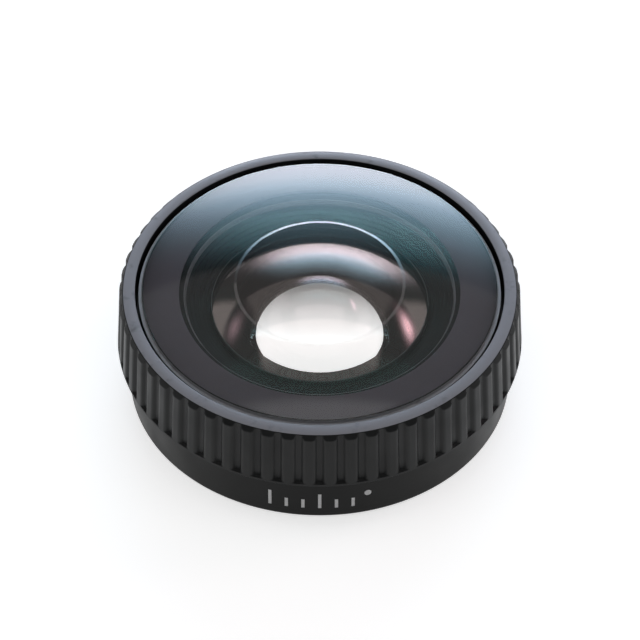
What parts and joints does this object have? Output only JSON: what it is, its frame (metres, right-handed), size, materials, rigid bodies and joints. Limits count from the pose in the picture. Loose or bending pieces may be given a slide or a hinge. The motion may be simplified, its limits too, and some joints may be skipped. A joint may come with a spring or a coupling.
{
  "type": "wide-angle conversion lens",
  "caption": "Round wide-angle conversion lens for a small camera: domed front glass, ribbed twist ring over a plain skirt, bayonet socket behind.",
  "frame": {"origin": "on the optical axis, in the plane of the rear mount face", "axes": "+Z along the optical axis out of the front glass, -Y towards the side that carries the marking"},
  "size_m": [0.0408, 0.0408, 0.0156],
  "materials": {
    "skirt_finish": "matte black anodised",
    "ring_finish": "satin grey anodised",
    "plate_metal": "satin black anodised",
    "tube_finish": "matte black anodised",
    "bayonet_metal": "turned, satin",
    "steel": "satin",
    "slip_plastic": "smooth",
    "seal_rubber": "matte",
    "mask_black": "matte ink",
    "baffle_black": "matte",
    "front_glass": "polished, coated",
    "inner_glass": "polished, coated"
  },
  "bodies": {
    "barrel": {"barrel_base": "skirt_finish", "rear_plate": "plate_metal", "plate_screws": "steel", "click_spring": "steel", "glide_washer": "slip_plastic", "lens_tube": "tube_finish", "damping_ring": "seal_rubber", "tube_seal": "seal_rubber", "dust_ring": "slip_plastic", "camera_gasket": "seal_rubber", "front_element": "front_glass", "front_mask": "mask_black", "bonding_ring": "seal_rubber", "front_baffle": "baffle_black", "second_element": "inner_glass", "aperture_stop": "baffle_black", "second_retainer": "baffle_black", "rear_retainer": "baffle_black", "rear_negative": "inner_glass", "rear_positive": "inner_glass"},
    "grip": {"grip_ring": "ring_finish", "drive_pins": "steel", "bayonet_ring": "bayonet_metal"}
  },
  "joints": [
    {"name": "lock_twist", "type": "hinge", "parent": "barrel", "child": "grip", "pos_m": [0, 0, 0.0088], "axis": [0, 0, -1], "range_deg": [0, 36]}
  ]
}
